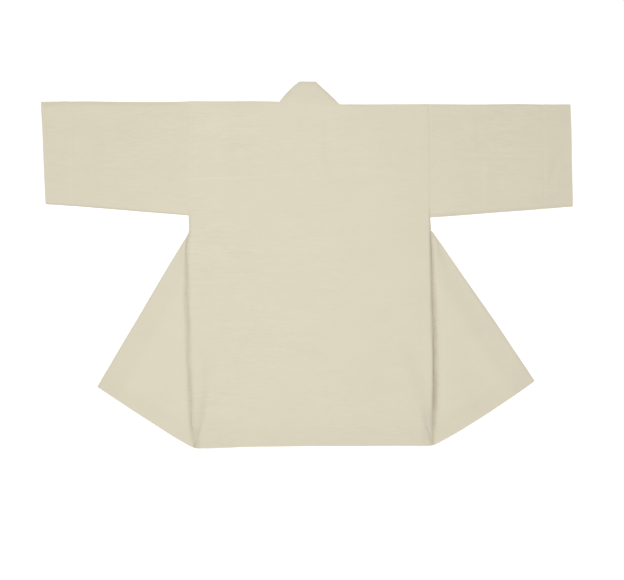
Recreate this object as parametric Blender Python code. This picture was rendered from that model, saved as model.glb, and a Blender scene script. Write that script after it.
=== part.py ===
"""A happi coat laid flat on its fronts, with its back up and its sleeves straight out.

+Z is up, the neck is towards +Y and the origin is under the middle of the coat, on the surface that
it lies on. Each piece is a wall of cloth. It is worked out on the square cut of the coat, where x runs
across from the centre back and depth runs down from the shoulder fold, and is then laid down with the
small shifts of a coat that was spread by hand. Layers lie a hair apart, also at the seams, where the
sleeves and gores run in between the body's two layers.
"""

import math

import bpy
from mathutils import Vector

# Driving sizes of the cut, in metres
COAT_LENGTH = 0.841
BODY_HALF = 0.293
CUFF_REACH = 0.650
ARMHOLE_DEPTH = 0.280
CUFF_DEPTH = 0.250
GORE_TOP = 0.313
GORE_FOLD = 0.443
NECK_HALF = 0.075
BAND_WIDTH = 0.055

# Cloth, in metres
CLOTH = 0.0012
BAND = 0.0020
GAP = 0.0003
LAP = 0.012
# The band's sewn edge is notched this deep where it turns under at the neck's corners
NOTCH = 0.0010
# How far a sleeve or gore takes to sink from the seam to the surface, and the back to leave it
SETTLE = 0.016
SIDE_SLOPE = 0.055
BAND_SLOPE = 0.025
GORE_PUFF = 0.0022
SLEEVE_PUFF = 0.0012
# The puff of a gore rises over this distance from its seam or hem and falls over this one to its fold
PUFF_RISE = 0.032
PUFF_FALL = 0.050
# Share of the puff that is left at the hem
HEM_PUFF = 0.5
# A gore starts this wide, and has its full bends by the seam from this width on
GORE_START = 0.004
GORE_FULL = 0.070
# Distances from a seam at which the cloth beside it bends
NEAR_SEAM = (0.004, 0.009)
BOW_FADE = 0.080

# How finely the pieces are divided
ARC_STEPS = 6
BACK_ROWS = 26
FRONT_ROWS = 8
SLEEVE_RINGS = 12
GORE_ROWS = 17
BAND_ROWS = 16

STEP = CLOTH + GAP
GORE_SEAM = COAT_LENGTH - GORE_TOP
GORE_HEM = math.sqrt(GORE_SEAM**2 - GORE_FOLD**2)
TIP_OUT = GORE_FOLD * GORE_HEM / GORE_SEAM
TIP_DEPTH = GORE_TOP + GORE_FOLD**2 / GORE_SEAM

# How far each corner lies from its square place, in metres
LAY = {
    # corner: (left x, left y, right x, right y)
    "neck": (0.005, 0.003, 0.006, -0.004),
    "shoulder": (0.004, 0.003, 0.005, -0.004),
    "armhole_foot": (0.003, 0.002, 0.009, -0.001),
    "gore_top": (0.005, -0.002, 0.010, 0.003),
    "gore_tip": (0.020, -0.007, 0.021, 0.003),
    "hem": (0.016, -0.003, 0.016, 0.003),
    "cuff_top": (0.000, 0.003, -0.005, -0.004),
    "cuff_foot": (0.012, 0.001, 0.000, -0.004),
}
SIDE_STATIONS = (
    (0.0, "shoulder"),
    (ARMHOLE_DEPTH, "armhole_foot"),
    (GORE_TOP, "gore_top"),
    (COAT_LENGTH, "hem"),
)
# How far each gore's seam bows from a straight line, where the body spreads over the gore
SEAM_BOW = (
    # (depth, left x, right x)
    (GORE_TOP, 0.0, 0.0),
    (0.350, -0.0100, -0.0005),
    (0.600, -0.0092, 0.0018),
    (0.740, -0.0065, 0.0002),
    (COAT_LENGTH, 0.0, 0.0),
)

# Soft folds that stand up from the upper layer, in metres on the square cut
FOLDS = (
    # (from x, from depth, to x, to depth, half width, height)
    (-0.285, 0.835, -0.250, 0.705, 0.022, 0.0014),
    (0.288, 0.835, 0.252, 0.715, 0.022, 0.0014),
    (-0.265, 0.182, -0.110, 0.192, 0.030, 0.0010),
    (0.050, 0.150, 0.262, 0.176, 0.030, 0.0010),
    (-0.120, 0.560, -0.060, 0.800, 0.045, 0.0009),
    (0.150, 0.420, 0.100, 0.640, 0.045, 0.0009),
    (0.426, 0.110, 0.424, 0.250, 0.024, 0.0016),
    (0.612, 0.120, 0.575, 0.200, 0.026, 0.0014),
    (-0.400, 0.060, -0.420, 0.210, 0.030, 0.0012),
    (-0.575, 0.050, -0.590, 0.200, 0.026, 0.0012),
    (-0.360, 0.560, -0.480, 0.690, 0.030, 0.0012),
    (0.350, 0.540, 0.440, 0.690, 0.030, 0.0012),
)


def ease(share):
    """0 to 1 with level ends."""
    share = min(max(share, 0.0), 1.0)
    return share * share * (3 - 2 * share)


def level(layer):
    """Height of the middle of a cloth layer, counted up from 0 on the surface."""
    return CLOTH / 2 + layer * STEP


def spread(first, last, count):
    """Evenly spaced values, both ends included."""
    return [first + (last - first) * number / (count - 1) for number in range(count)]


def with_stations(places, stations):
    """The places in order, with the stations among them and near neighbours of those left out."""
    apart = 0.4 * abs(places[1] - places[0])
    kept = [place for place in places if all(abs(place - station) > apart for station in stations)]
    return sorted(kept + stations)


# ---- the lay


def shift(corner, side):
    left_x, left_y, right_x, right_y = LAY[corner]
    return Vector((left_x, left_y)) if side < 0 else Vector((right_x, right_y))


def side_shift(side, depth):
    """Shift of a point on the body's side edge."""
    for (top, upper), (foot, lower) in zip(SIDE_STATIONS, SIDE_STATIONS[1:]):
        if depth <= foot:
            break
    share = min(max((depth - top) / (foot - top), 0.0), 1.0)
    return shift(upper, side).lerp(shift(lower, side), share)


def seam_bow(side, depth):
    """How far a gore's seam bows out here."""
    for (top, *upper), (foot, *lower) in zip(SEAM_BOW, SEAM_BOW[1:]):
        if depth <= foot:
            break
    share = min(max((depth - top) / (foot - top), 0.0), 1.0)
    hand = 0 if side < 0 else 1
    return upper[hand] + (lower[hand] - upper[hand]) * share


def neck_shift(side, depth):
    """Shift of a point on the line of the body's front edge."""
    at_hem = shift("hem", -1).lerp(shift("hem", 1), (1 + side * NECK_HALF / BODY_HALF) / 2)
    return shift("neck", side).lerp(at_hem, min(max(depth / COAT_LENGTH, 0.0), 1.0))


def body_shift(x, depth):
    side = -1 if x < 0 else 1
    if abs(x) > NECK_HALF:
        share = min((abs(x) - NECK_HALF) / (BODY_HALF - NECK_HALF), 1.0)
        near_edge = min(max(1 - (BODY_HALF - abs(x)) / BOW_FADE, 0.0), 1.0)
        bow = Vector((seam_bow(side, depth) * near_edge, 0))
        return neck_shift(side, depth).lerp(side_shift(side, depth), share) + bow
    across = neck_shift(-1, depth).lerp(neck_shift(1, depth), (1 + x / NECK_HALF) / 2)
    middle = neck_shift(-1, depth).lerp(neck_shift(1, depth), 0.5)
    return across.lerp(middle, min(max(-depth / BAND_WIDTH, 0.0), 1.0))


def gore_reach(depth):
    """How far out of the body's side a gore reaches at this depth."""
    if depth < TIP_DEPTH:
        return TIP_OUT * (depth - GORE_TOP) / (TIP_DEPTH - GORE_TOP)
    return TIP_OUT * (COAT_LENGTH - depth) / (COAT_LENGTH - TIP_DEPTH)


def laid(x, depth, height):
    """Where a point of the square cut lies."""
    side = -1 if x < 0 else 1
    out = abs(x) - BODY_HALF
    move = body_shift(x, depth)
    if out > 0 and depth < (ARMHOLE_DEPTH + GORE_TOP) / 2:
        at_cuff = shift("cuff_top", side).lerp(shift("cuff_foot", side), depth / CUFF_DEPTH)
        move = move.lerp(at_cuff, out / (CUFF_REACH - BODY_HALF))
    elif out > 0:
        move = move + (shift("gore_tip", side) - side_shift(side, TIP_DEPTH)) * (out / TIP_OUT)
        move.x -= seam_bow(side, depth) * min(out / max(gore_reach(depth), out), 1.0)
    return Vector((x + move.x, move.y - depth, height))


# ---- heights of the layers


def fold_height(x, depth):
    """How far the soft folds lift the upper layer here."""
    lift = 0.0
    for start_x, start_depth, end_x, end_depth, half_width, height in FOLDS:
        start = Vector((start_x, start_depth))
        run = Vector((end_x, end_depth)) - start
        away = Vector((x, depth)) - start
        along = away.dot(run) / run.length_squared
        across = abs(away.x * run.y - away.y * run.x) / run.length
        ends = ease(3 * along) * ease(3 * (1 - along))
        lift += height * ends * (1 - ease(across / half_width))
    return lift


def back_height(x, depth):
    """The back lies on the fronts, over the thicker band and over the sleeves' and gores' edges."""
    over_band = (BAND - CLOTH) * (1 - ease((abs(x) - NECK_HALF - LAP / 4) / BAND_SLOPE))
    into_slope = (abs(x) - BODY_HALF + SIDE_SLOPE) / (SIDE_SLOPE - LAP - LAP / 4)
    over_edges = 2 * STEP * ease(into_slope)
    return level(1) + over_band + over_edges + fold_height(x, depth)


def lower_height(x):
    """Lower layer of a sleeve or gore, which sinks from the seam to the surface."""
    out = abs(x) - BODY_HALF
    return level(1) - STEP * ease((out - GAP) / SETTLE)


def arc_angles():
    """From straight up, round the outside, to straight down."""
    return spread(math.pi / 2, -math.pi / 2, ARC_STEPS + 1)


# ---- pieces

pieces = []


def add_cloth(name, place, colour, thickness=CLOTH, keep=None, ring=False):
    """A wall of cloth whose middle passes through place[row][column]. A ring closes on itself across."""
    columns = len(place[0])
    numbers = {}
    faces = []
    for row in range(len(place) - 1):
        for column in range(columns if ring else columns - 1):
            if keep and not keep(row, column):
                continue
            beside = (column + 1) % columns
            corners = ((row, column), (row, beside), (row + 1, beside), (row + 1, column))
            faces.append([numbers.setdefault(corner, len(numbers)) for corner in corners])
    mesh = bpy.data.meshes.new(name)
    mesh.from_pydata([place[row][column] for row, column in numbers], [], faces)
    mesh.materials.append(cloth_material(name, colour))
    piece = bpy.data.objects.new(name, mesh)
    bpy.context.scene.collection.objects.link(piece)
    wall = piece.modifiers.new("wall", "SOLIDIFY")
    wall.thickness = thickness
    wall.offset = 0
    wall.use_even_offset = True
    mesh.shade_smooth()
    mesh.set_sharp_from_angle(angle=math.radians(40))
    pieces.append(piece)


def cloth_material(name, colour):
    material = bpy.data.materials.new(name + "_cloth")
    material.use_nodes = True
    shader = material.node_tree.nodes["Principled BSDF"]
    shader.inputs["Base Color"].default_value = (*colour, 1)
    shader.inputs["Roughness"].default_value = 0.9
    shader.inputs["Metallic"].default_value = 0.0
    material.diffuse_color = (*colour, 1)
    return material


def body_columns():
    """x across the body, with a column on each edge of the front opening."""
    slope_foot = NECK_HALF + LAP / 4 + BAND_SLOPE
    slope_top = BODY_HALF - SIDE_SLOPE
    half = [0.0, NECK_HALF - BAND_WIDTH, NECK_HALF - BAND_WIDTH / 2, NECK_HALF]
    half += spread(NECK_HALF + LAP / 4, slope_foot, 3)
    half += spread(slope_foot, slope_top, 5)[1:]
    half += spread(slope_top, BODY_HALF - LAP, 5)[1:] + [BODY_HALF]
    return [-x for x in half[:0:-1]] + half


def add_body():
    """Back and fronts in one length, folded over the shoulders and open down the front."""
    columns = body_columns()
    fold = below_fold(BODY_HALF, 0)
    bends = [(depth - fold) / (COAT_LENGTH - fold) for depth, _, _ in SEAM_BOW[:-1]]
    down_back = with_stations(spread(0, 1, BACK_ROWS), bends)
    down_front = with_stations(spread(0, 1, FRONT_ROWS), bends)
    rows = []
    for share in down_back[:0:-1]:
        row = []
        for x in columns:
            depth = below_fold(x, share)
            row.append(laid(x, depth, back_height(x, depth)))
        rows.append(row)
    for angle in arc_angles():
        row = []
        for x in columns:
            radius = (back_height(x, 0) - level(0)) / 2
            depth = CLOTH / 2 + radius * (1 - math.cos(angle))
            row.append(laid(x, depth, level(0) + radius * (1 + math.sin(angle))))
        rows.append(row)
    for share in down_front[1:]:
        rows.append([laid(x, below_fold(x, share), level(0)) for x in columns])

    def keep(row, column):
        middle = (columns[column] + columns[column + 1]) / 2
        return row < len(down_back) - 1 or abs(middle) > NECK_HALF

    add_cloth("body", rows, (0.73, 0.68, 0.54), keep=keep)


def below_fold(x, share):
    """Depth on the back or a front, at this share of the way from the shoulder fold to the hem."""
    start = (back_height(x, 0) - level(0)) / 2 + CLOTH / 2
    return start + share * (COAT_LENGTH - start)


def add_sleeve(name, side):
    """A tube folded flat along the shoulder and sewn along the underarm, open at both ends."""
    radius = STEP / 2
    # The shoulder fold of the sleeve nests in the body's own fold at the armhole
    fold_depth = CLOTH / 2 + (level(3) - level(0)) / 2
    outs = [-LAP, 0.0, *NEAR_SEAM, SETTLE]
    outs += spread(SETTLE, CUFF_REACH - BODY_HALF, SLEEVE_RINGS)[1:]
    rings = []
    for out in outs:
        x = side * (BODY_HALF + out)
        taper = max(out, 0.0) / (CUFF_REACH - BODY_HALF)
        foot = ARMHOLE_DEPTH + (CUFF_DEPTH - ARMHOLE_DEPTH) * taper - CLOTH / 2 - radius
        low = lower_height(x)
        ring = []
        for angle in reversed(arc_angles()):
            ring.append((fold_depth - radius * math.cos(angle), radius * math.sin(angle)))
        for share in spread(0, 1, 10)[1:-1]:
            depth = fold_depth + share * (foot - fold_depth)
            puff = 4 * share * (1 - share) * (SLEEVE_PUFF + fold_height(x, depth))
            ring.append((depth, radius + puff * ease(out / SETTLE)))
        for angle in arc_angles():
            ring.append((foot + radius * math.cos(angle), radius * math.sin(angle)))
        for share in spread(1, 0, 6)[1:-1]:
            ring.append((fold_depth + share * (foot - fold_depth), -radius))
        rings.append([laid(x, depth, low + radius + height) for depth, height in ring])
    add_cloth(name, rings, (0.72, 0.67, 0.53), ring=True)


def add_gore(name, side):
    """A triangle folded outwards down its middle, one edge sewn to the back and one to the front."""
    radius = STEP / 2
    outward = Vector((TIP_OUT, COAT_LENGTH - TIP_DEPTH)).normalized()
    near_seam = (0.0, *NEAR_SEAM, SETTLE, PUFF_RISE)
    bends = [(depth - GORE_TOP) / GORE_SEAM for depth, _, _ in SEAM_BOW[1:-1]]
    downs = [share**2 for share in spread(math.sqrt(GORE_START / GORE_HEM), 1, GORE_ROWS)]
    rows = []
    for down in with_stations(downs, bends):
        seam_depth = GORE_TOP + down * GORE_SEAM
        width = down * GORE_HEM
        to_centre = width - radius - CLOTH / 2
        scale = min(1.0, to_centre / GORE_FULL)
        runs = [distance * scale for distance in near_seam]
        upper_runs = runs + spread(runs[-1], to_centre, 7)[1:-1]
        row = []

        def add_point(run, height, inward=0.0):
            x = BODY_HALF - inward + outward.x * run
            depth = seam_depth - outward.y * run
            row.append((side * x, depth, lower_height(x) + radius + height))

        add_point(0.0, radius, inward=LAP)
        for run in upper_runs:
            bulge = ease(run / PUFF_RISE) * ease((to_centre - run) / PUFF_FALL)
            bulge *= ease((1 - down) * GORE_FOLD / PUFF_RISE + HEM_PUFF)
            x = side * (BODY_HALF + outward.x * run)
            puff = GORE_PUFF + fold_height(x, seam_depth - outward.y * run)
            add_point(run, radius + puff * bulge)
        for angle in arc_angles():
            add_point(to_centre + radius * math.cos(angle), radius * math.sin(angle))
        for run in spread(to_centre, runs[-1], 4)[1:] + runs[-2::-1]:
            add_point(run, -radius)
        add_point(0.0, -radius, inward=LAP)
        rows.append([laid(*point) for point in row])
    add_cloth(name, rows, (0.73, 0.68, 0.54))


def add_neckband():
    """A double strip round the back of the neck, turned under on the slant and down both front edges."""
    radius = (BAND + GAP) / 2
    turn = math.pi * radius / math.sqrt(2)
    neck_edge = CLOTH / 2 + (level(1) + BAND - CLOTH - level(0)) / 2
    seam_depth = neck_edge - GAP
    # Half the length of the sewn edge across the back of the neck, between the two slanting folds
    half_back = NECK_HALF - GAP - turn
    to_hem = COAT_LENGTH - seam_depth + turn
    high = BAND * 1.5 + GAP
    widths = spread(0, BAND_WIDTH, 5)

    def folded(along, width):
        """A point of the strip, along from the centre back and up from its sewn edge."""
        side = -1 if along < 0 else 1
        past = (width + abs(along) - half_back) / math.sqrt(2)
        if past <= 0:
            return laid(along, seam_depth - width, high)
        foot = (half_back - abs(along) + width) / 2
        angle = min(past / radius, math.pi)
        out = radius * math.sin(angle) - max(past - math.pi * radius, 0.0)
        x = half_back - foot + out / math.sqrt(2)
        rise = foot + out / math.sqrt(2)
        return laid(side * x, seam_depth - rise, high - radius * (1 - math.cos(angle)))

    def slant(past, edge=0.0):
        """A line across the strip, this far past the slanting fold, as (along, width) points."""
        return [(half_back - width + past * math.sqrt(2), width) for width in [edge] + widths[1:]]

    half = []
    for share in spread(1, 0, BAND_ROWS)[:-1]:
        line = slant(math.pi * radius)
        half.append([(along + share * (half_back + to_hem - along), width) for along, width in line])
    for past in spread(math.pi * radius, 0, ARC_STEPS + 1):
        half.append(slant(past, edge=NOTCH))
    for share in (0.75, 0.5, 0.25, 0.0):
        half.append([(share * along, width) for along, width in slant(0.0)])
    lines = half + [[(-along, width) for along, width in line] for line in half[-2::-1]]
    rows = [[folded(along, width) for along, width in line] for line in lines]
    add_cloth("neckband", rows, (0.71, 0.66, 0.53), thickness=BAND)


def set_down():
    """Carry the pieces on one empty that puts the middle of the coat over the origin."""
    points = [vertex.co for piece in pieces for vertex in piece.data.vertices]
    lay = bpy.data.objects.new("coat", None)
    bpy.context.scene.collection.objects.link(lay)
    lay.location.x = -(min(p.x for p in points) + max(p.x for p in points)) / 2
    lay.location.y = -(min(p.y for p in points) + max(p.y for p in points)) / 2
    for piece in pieces:
        piece.parent = lay


def main():
    for existing in list(bpy.data.objects):
        bpy.data.objects.remove(existing)
    add_body()
    for side, word in ((-1, "left"), (1, "right")):
        add_sleeve("sleeve_" + word, side)
        add_gore("gore_" + word, side)
    add_neckband()
    set_down()


main()
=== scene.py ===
"""Sews a happi coat that lies flat on its fronts, with its back up and its sleeves straight out.

Every piece is worked out on the coat's square cut. There x runs across from the centre back and depth
runs down from the shoulder fold. The cut is then laid down with the small shifts of a coat that was
spread by hand, and each layer gets its own height over the floor. A UV map named cut keeps each
piece's place on its own cloth, in metres and with the weft along u, for the weave.
"""

import math

import bpy
import numpy as np
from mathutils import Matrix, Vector


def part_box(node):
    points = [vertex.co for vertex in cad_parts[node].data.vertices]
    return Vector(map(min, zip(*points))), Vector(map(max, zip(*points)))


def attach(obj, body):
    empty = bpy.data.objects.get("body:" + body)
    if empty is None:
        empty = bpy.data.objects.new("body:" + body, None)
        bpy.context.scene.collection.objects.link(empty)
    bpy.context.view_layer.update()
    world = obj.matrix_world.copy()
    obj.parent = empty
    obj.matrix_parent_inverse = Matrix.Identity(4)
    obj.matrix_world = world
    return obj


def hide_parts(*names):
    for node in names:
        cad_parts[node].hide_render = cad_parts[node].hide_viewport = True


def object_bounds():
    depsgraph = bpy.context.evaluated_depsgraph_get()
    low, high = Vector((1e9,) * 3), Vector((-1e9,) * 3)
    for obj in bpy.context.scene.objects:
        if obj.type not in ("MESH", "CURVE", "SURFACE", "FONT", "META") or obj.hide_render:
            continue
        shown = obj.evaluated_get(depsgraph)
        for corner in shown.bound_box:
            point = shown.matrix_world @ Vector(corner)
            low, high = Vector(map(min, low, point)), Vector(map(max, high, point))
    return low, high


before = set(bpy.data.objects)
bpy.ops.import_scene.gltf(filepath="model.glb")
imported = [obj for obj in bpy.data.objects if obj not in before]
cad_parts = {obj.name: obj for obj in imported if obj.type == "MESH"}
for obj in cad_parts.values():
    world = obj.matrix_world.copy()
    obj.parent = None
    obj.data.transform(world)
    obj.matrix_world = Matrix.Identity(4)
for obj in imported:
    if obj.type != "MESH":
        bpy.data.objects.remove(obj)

cad_low, cad_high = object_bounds()
body_low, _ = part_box("body")

bl_info = {
    "name": "Happi Coat",
    "version": (1, 0, 0),
    "blender": (4, 5, 0),
    "location": "3D View > Sidebar > Happi Coat",
    "description": "Sews a happi coat laid flat and sets up a plain studio round it",
    "category": "Add Mesh",
}

# How far each corner lies from its square place, in metres
LAY = {
    # corner: (left x, left y), (right x, right y)
    "band_top": ((0.001, -0.0005), (0.001, -0.0005)),
    "neck": ((0.005, 0.003), (0.006, -0.004)),
    "shoulder": ((0.004, 0.0045), (0.005, -0.003)),
    "armhole_foot": ((0.0010, 0.0050), (0.009, -0.001)),
    "gore_top": ((0.0030, -0.0020), (0.010, 0.003)),
    "gore_tip": ((0.020, -0.0112), (0.0235, 0.0036)),
    "hem": ((0.016, -0.003), (0.016, 0.003)),
    "cuff_top": ((-0.0013, 0.0035), (-0.004, -0.003)),
    "cuff_foot": ((0.010, 0.003), (0.001, -0.004)),
}

# How far the neckband's left slant bows out halfway up, and how far each gore's fold and hem bow out
BAND_BOW = (-0.0030, 0.0020)
GORE_BOW = {
    # side: (fold, hem)
    -1: (0.0004, 0.0030),
    1: (0.0030, 0.0046),
}
# How far each gore's seam bows from a straight line, where the body spreads over the gore
SEAM_BOW = (
    # (depth, left x, right x)
    (0.313, 0.0, 0.0),
    (0.335, -0.0080, -0.0008),
    (0.352, -0.0106, 0.0004),
    (0.390, -0.0094, 0.0010),
    (0.450, -0.0084, 0.0020),
    (0.520, -0.0074, 0.0036),
    (0.600, -0.0080, 0.0044),
    (0.650, -0.0074, 0.0048),
    (0.700, -0.0064, 0.0034),
    (0.735, -0.0050, 0.0020),
    (0.775, -0.0022, 0.0012),
    (0.841, 0.0, 0.0),
)
# At the hem's corners the body falls to its seams in one wide slope: its share, and how wide it is
CORNER_SHARE = (
    # (depth, left, right)
    (0.725, 0.00, 0.00),
    (0.765, 0.35, 0.60),
    (0.803, 0.75, 0.60),
    (0.826, 0.85, 0.65),
    (0.841, 0.85, 0.65),
)
CORNER_WIDTH = (
    (0.725, 0.028, 0.034),
    (0.765, 0.025, 0.028),
    (0.803, 0.020, 0.018),
    (0.826, 0.016, 0.013),
    (0.841, 0.013, 0.010),
)
# Creases of the upper layers, in metres on the square cut. A height below 0 is a trough.
CREASES = (
    # (from x, from depth, to x, to depth, half width, height)
    # pulls that run up from the two corners of the hem
    (-0.288, 0.826, -0.265, 0.748, 0.0065, -0.0022),
    (-0.270, 0.780, -0.254, 0.690, 0.008, -0.0010),
    (-0.279, 0.760, -0.262, 0.660, 0.016, 0.0006),
    (0.289, 0.834, 0.276, 0.782, 0.0055, -0.0013),
    (0.281, 0.812, 0.262, 0.738, 0.007, -0.0011),
    (0.266, 0.770, 0.250, 0.680, 0.012, -0.0007),
    (0.262, 0.740, 0.252, 0.640, 0.016, 0.0006),
    # warp pulled straight beside the seams
    (-0.262, 0.560, -0.258, 0.760, 0.008, -0.0002),
    (-0.248, 0.520, -0.246, 0.720, 0.006, 0.0002),
    (0.274, 0.540, 0.276, 0.740, 0.005, 0.0002),
    (0.262, 0.430, 0.262, 0.660, 0.009, -0.0002),
    # soft folds across the shoulder blades
    (-0.345, 0.1955, -0.085, 0.1805, 0.0060, 0.0006),
    (-0.150, 0.1840, -0.005, 0.1715, 0.0060, 0.0003),
    (-0.265, 0.182, -0.110, 0.192, 0.032, 0.0008),
    (0.045, 0.145, 0.160, 0.163, 0.006, 0.0002),
    (0.130, 0.160, 0.290, 0.178, 0.006, 0.0002),
    (0.050, 0.150, 0.262, 0.176, 0.034, 0.0008),
    # soft waves down the back
    (-0.120, 0.560, -0.060, 0.800, 0.048, 0.0009),
    (0.150, 0.420, 0.100, 0.640, 0.045, 0.0009),
    (-0.020, 0.260, 0.015, 0.430, 0.050, 0.0005),
    # pressed by the band and by the seam beneath
    (0.036, 0.004, 0.038, 0.205, 0.010, -0.0003),
    (0.050, 0.016, 0.053, 0.060, 0.005, 0.0003),
    (0.088, 0.012, 0.286, 0.011, 0.004, -0.0002),
    (-0.272, 0.010, -0.272, 0.205, 0.0075, 0.0003),
    (0.268, 0.010, 0.268, 0.195, 0.0060, 0.0002),
    # right sleeve
    (0.2975, 0.002, 0.2990, 0.130, 0.0035, 0.0003),
    (0.296, 0.020, 0.378, 0.020, 0.0040, 0.0004),
    (0.410, 0.012, 0.411, 0.122, 0.0100, -0.0004),
    (0.336, 0.1240, 0.552, 0.1250, 0.0040, 0.0005),
    (0.345, 0.1400, 0.545, 0.1410, 0.0040, 0.0004),
    (0.352, 0.1560, 0.500, 0.1555, 0.0040, 0.0003),
    (0.432, 0.105, 0.431, 0.268, 0.0075, 0.0006),
    (0.424, 0.110, 0.420, 0.250, 0.024, 0.0008),
    (0.630, 0.100, 0.588, 0.210, 0.015, -0.0016),
    (0.350, 0.050, 0.365, 0.150, 0.030, 0.0006),
    # left sleeve
    (-0.580, 0.164, -0.308, 0.166, 0.005, -0.0003),
    (-0.307, 0.084, -0.305, 0.164, 0.006, 0.0003),
    (-0.400, 0.060, -0.420, 0.210, 0.030, 0.0010),
    (-0.575, 0.050, -0.590, 0.200, 0.026, 0.0010),
    # gores
    (-0.350, 0.560, -0.478, 0.716, 0.030, 0.0013),
    (-0.330, 0.640, -0.372, 0.790, 0.026, 0.0007),
    (0.350, 0.540, 0.450, 0.690, 0.030, 0.0012),
    (0.338, 0.680, 0.395, 0.770, 0.024, 0.0006),
)
# The same for the hidden layers, which rest on the floor, so all of them stand up from it
HIDDEN_CREASES = (
    (-0.285, 0.838, -0.252, 0.720, 0.016, 0.0010),
    (0.286, 0.838, 0.254, 0.705, 0.016, 0.0010),
    (-0.280, 0.181, -0.100, 0.173, 0.006, 0.0006),
    (0.092, 0.158, 0.286, 0.176, 0.006, 0.0005),
    (-0.190, 0.380, -0.150, 0.610, 0.036, 0.0007),
    (0.205, 0.300, 0.160, 0.520, 0.036, 0.0007),
    (0.430, 0.090, 0.425, 0.235, 0.016, 0.0008),
    (-0.420, 0.070, -0.428, 0.220, 0.016, 0.0008),
    (-0.560, 0.060, -0.552, 0.200, 0.018, 0.0006),
    (0.548, 0.060, 0.556, 0.190, 0.018, 0.0006),
    (-0.350, 0.600, -0.440, 0.715, 0.024, 0.0008),
    (0.360, 0.590, 0.452, 0.700, 0.024, 0.0008),
)
# Painted shade, where the cloth is painted a little darker, and below 0 painted light, where it is
# painted a little lighter
SHADE_PATCHES = (
    # (from x, from depth, to x, to depth, half width, painted shade)
    # the back, up from the corners of the hem
    (-0.288, 0.800, -0.230, 0.570, 0.024, 0.50),
    (-0.286, 0.822, -0.262, 0.715, 0.017, 0.75),
    (-0.222, 0.590, -0.180, 0.400, 0.022, 0.25),
    (0.286, 0.800, 0.212, 0.550, 0.026, 0.60),
    # the back, below the left shoulder
    (-0.240, 0.030, -0.220, 0.160, 0.034, -0.35),
    # right sleeve
    (0.490, 0.066, 0.580, 0.068, 0.026, 0.50),
    (0.628, 0.080, 0.620, 0.170, 0.010, 0.60),
    (0.490, 0.240, 0.630, 0.230, 0.016, 0.45),
    (0.455, 0.180, 0.500, 0.215, 0.030, -0.30),
    # left sleeve
    (-0.560, 0.020, -0.490, 0.130, 0.034, 0.30),
)

# How the layers lie, in metres. Pairs are (left, right).
CLEARANCE = 0.00005  # from one layer to the next where they touch
EASING_STEPS = (-0.012, -0.006, 0.0, 0.006, 0.012)  # round a bend of a table
SEAM_BOW_FADES = 0.080  # how far in from the body's side the bow of a seam is felt
HEM_STEP = 0.004  # how wide the step to doubled cloth is
CUFF_STEP = 0.005  # the same at a cuff
HEM_FLATTENS = 0.060  # how far above a hem the cloth starts to flatten
FLATTER_AT_HEM = 0.4  # what is left of the unevenness there
LAP_FALLS = 0.016  # how far out a lower layer reaches the floor from its lap
SHOULDER_HIGH = (0.0024, 0.0026)  # the back where it starts to turn over
SHOULDER_ROLL = (0.015, 0.008)  # how far down the back that turn is felt
BACK_PLATEAU = (1.2, 0.9)  # its height at the hem, as a share of the valley's depth
BACK_ROLL = (0.0120, 0.0105)  # how wide the back rolls down to a gore
BACK_ROUNDNESS = (2.1, 2.6)
SLEEVE_PUFF = {
    # side: (height near the fold, height further down, width of the fold's roll, of the underarm's)
    -1: (0.0046, 0.0036, 0.014, 0.006),
    1: (0.0025, 0.0042, 0.007, 0.012),
}
GORE_PUFF = {
    # side: (height of the crest as a share of the valley's depth, width of the roll at the seam)
    -1: (1.0, 0.0125),
    1: (1.2, 0.0130),
}
# How much a form varies along its seam, and the track that it takes through the unevenness
SEAM_VARIES = {
    # form: (share, track)
    "valley": (0.10, 0.2),
    "roll": (0.12, 0.6),
    "gore valley": (0.10, 0.9),
    "gore roll": (0.12, 1.3),
}

# Marks on the cloth: lighter edges, a painted highlight below the shoulder's fold, and painted shade.
# Widths are in metres and pairs are (left, right).
EDGE_LIGHTER_WIDE = 0.004  # how wide the cloth is lighter along an edge
FOLD_HIGHLIGHT_WIDE = 0.020  # how far down from the shoulder's fold the painted highlight reaches
# How strong that painted highlight is
FOLD_HIGHLIGHT = (1.0, 1.8)
# Painted shade along the back's edge beside each gore, for the valley there, and how far in it reaches
BODY_SHADE = (1.3, 2.2)
BODY_SHADE_WIDE = (0.013, 0.011)
# Painted shade at the hem's corners
CORNER_SHADE = {
    # side: (painted shade, width, its fade, height, its fade)
    -1: (1.5, 0.022, 0.010, 0.058, 0.030),
    1: (0.9, 0.034, 0.014, 0.108, 0.040),
}
# Painted shade along the underarm's edge
UNDERARM_SHADE = {
    # side: (painted shade, width)
    -1: (2.5, 0.006),
    1: (1.5, 0.012),
}
# Painted shade in the gores' valleys and near their folds
GORE_SHADE = {
    # side: (width above, width below, painted shade above, painted shade below, its fade above the
    # hem, painted shade near the fold, painted shade all over)
    -1: (0.018, 0.018, 1.4, 1.4, 0.060, 0.4, 0.0),
    1: (0.011, 0.018, 3.8, 4.4, 0.130, 0.5, 0.1),
}

# Noise on the cloth's own cut, in metres, with a seed for each
NOISE = {
    # name: (long, high, seed)
    "slub": (0.022, 0.0024, 3.0),
    "bar": (0.040, 0.0048, 9.0),
    "wide bar": (0.110, 0.0130, 15.0),
    "slubby place": (0.20, 0.15, 21.0),
    "mottle": (0.10, 0.08, 27.0),
    "warp": (0.0040, 0.12, 33.0),
}
# How strongly each part shows in the cloth's tone
TONE = {
    "slub": 0.028,
    "bar": 0.014,
    "wide bar": 0.060,
    "warp": 0.014,
    "mottle": 0.036,
    "weave": 0.050,
    # lighter at the edges, with a painted highlight below the shoulder's fold
    "rub": 0.010,
    # painted highlight on the ridges of sharp creases and painted shade in their troughs, and at the
    # cuffs' step
    "crest": 0.030,
}
PAINTED_SHADE_RIGHT = -0.016  # tone of the back's right side: painted shade, darker where less light falls

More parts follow.
